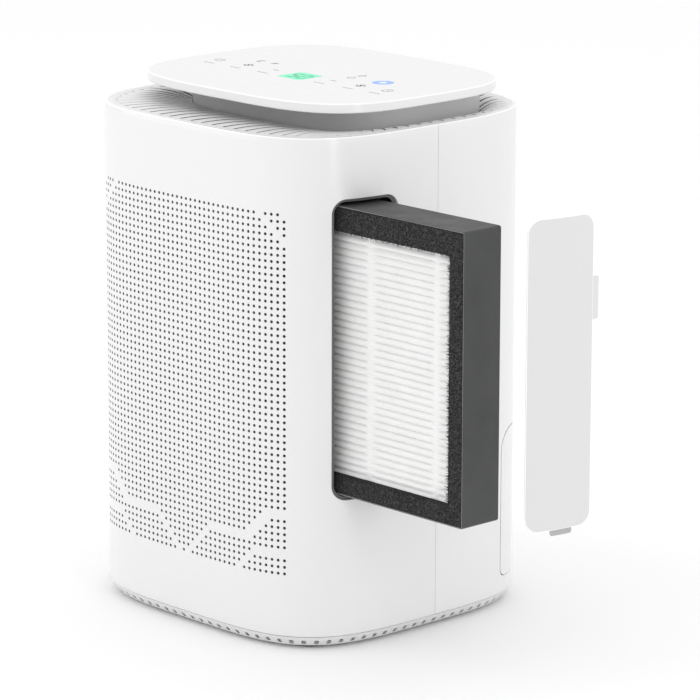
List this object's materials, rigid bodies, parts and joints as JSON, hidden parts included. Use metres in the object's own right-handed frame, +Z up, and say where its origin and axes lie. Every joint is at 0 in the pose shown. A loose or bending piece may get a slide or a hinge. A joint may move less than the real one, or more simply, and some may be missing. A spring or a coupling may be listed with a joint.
{
  "type": "air purifier",
  "caption": "Tabletop tower air purifier with perforated front, side slot for a cassette filter with its cover, ring outlet around a raised touch panel, and a rear water tank.",
  "frame": {"origin": "centre of the base tray's flat underside, 2 mm above the surface that the rubber feet stand on", "axes": "+Z up, +X towards the side with the filter slot, -Y towards the perforated front"},
  "size_m": [0.3746, 0.2064, 0.3245],
  "materials": {
    "gloss_white": "gloss",
    "grille_white": "satin",
    "neck_grey": "satin",
    "inner_grey": "matte",
    "frame_charcoal": "matte",
    "foam_black": "open-cell foam",
    "media_white": "pleated fibre paper",
    "rubber_black": "matte",
    "aluminium_fins": "extruded",
    "steel": "plated",
    "board_green": "solder mask",
    "black_plastic": "matte",
    "ceramic_white": "matte",
    "clear_smoke": "clear",
    "display_green": "lit",
    "indicator_blue": "lit"
  },
  "bodies": {
    "housing": {"front_shell": "gloss_white", "rear_shell": "gloss_white", "prefilter_mesh": "black_plastic", "base_tray": "inner_grey", "foot_front_left": "rubber_black", "foot_front_right": "rubber_black", "foot_rear_left": "rubber_black", "foot_rear_right": "rubber_black", "base_screw_1": "steel", "base_screw_2": "steel", "base_screw_3": "steel", "base_screw_4": "steel", "tank_cradle": "inner_grey", "chassis_plate": "inner_grey", "filter_bay": "inner_grey", "cover_switch": "black_plastic", "tank_switch": "black_plastic", "cold_sink": "aluminium_fins", "hot_sink": "aluminium_fins", "peltier_module": "ceramic_white", "drip_collector": "inner_grey", "main_board": "board_green", "power_jack": "black_plastic", "fan_deck": "inner_grey", "fan_tube": "inner_grey", "motor_bracket": "inner_grey", "motor_body": "steel", "motor_screw_1": "steel", "motor_screw_2": "steel", "motor_screw_3": "steel", "outlet_grille": "grille_white", "neck_collar": "neck_grey", "neck_post_1": "inner_grey", "neck_post_2": "inner_grey", "neck_post_3": "inner_grey", "neck_post_4": "inner_grey", "lid_panel": "gloss_white", "lid_base": "neck_grey", "touch_board": "board_green", "display_module": "display_green", "display_window": "clear_smoke", "lock_light": "indicator_blue"},
    "rotor": {"impeller": "neck_grey", "motor_shaft": "steel", "hub_nut": "steel"},
    "filter": {"filter_frame": "frame_charcoal", "filter_media": "media_white", "filter_seal_front": "foam_black", "filter_seal_rear": "foam_black"},
    "cover": {"filter_cover": "gloss_white"},
    "tank": {"water_tank": "gloss_white", "tank_lid": "clear_smoke", "float_pin": "steel"},
    "float": {"tank_float": "rubber_black"}
  },
  "joints": [
    {"name": "fan_spin", "type": "hinge", "parent": "housing", "child": "rotor", "pos_m": [0, 0.0208, 0.247], "axis": [0, 0, 1], "continuous": true},
    {"name": "filter_slide", "type": "slide", "parent": "housing", "child": "filter", "axis": [1, 0, 0], "range_m": [-0.107, 0.1]},
    {"name": "cover_slide", "type": "slide", "parent": "filter", "child": "cover", "axis": [0.9693, 0, 0.246], "range_m": [-0.0521, 0.1]},
    {"name": "tank_slide", "type": "slide", "parent": "housing", "child": "tank", "axis": [0, 1, 0], "range_m": [0, 0.12]},
    {"name": "float_swing", "type": "hinge", "parent": "tank", "child": "float", "pos_m": [0.034, 0.05, 0.0975], "axis": [1, 0, 0], "range_deg": [0, 9]}
  ]
}
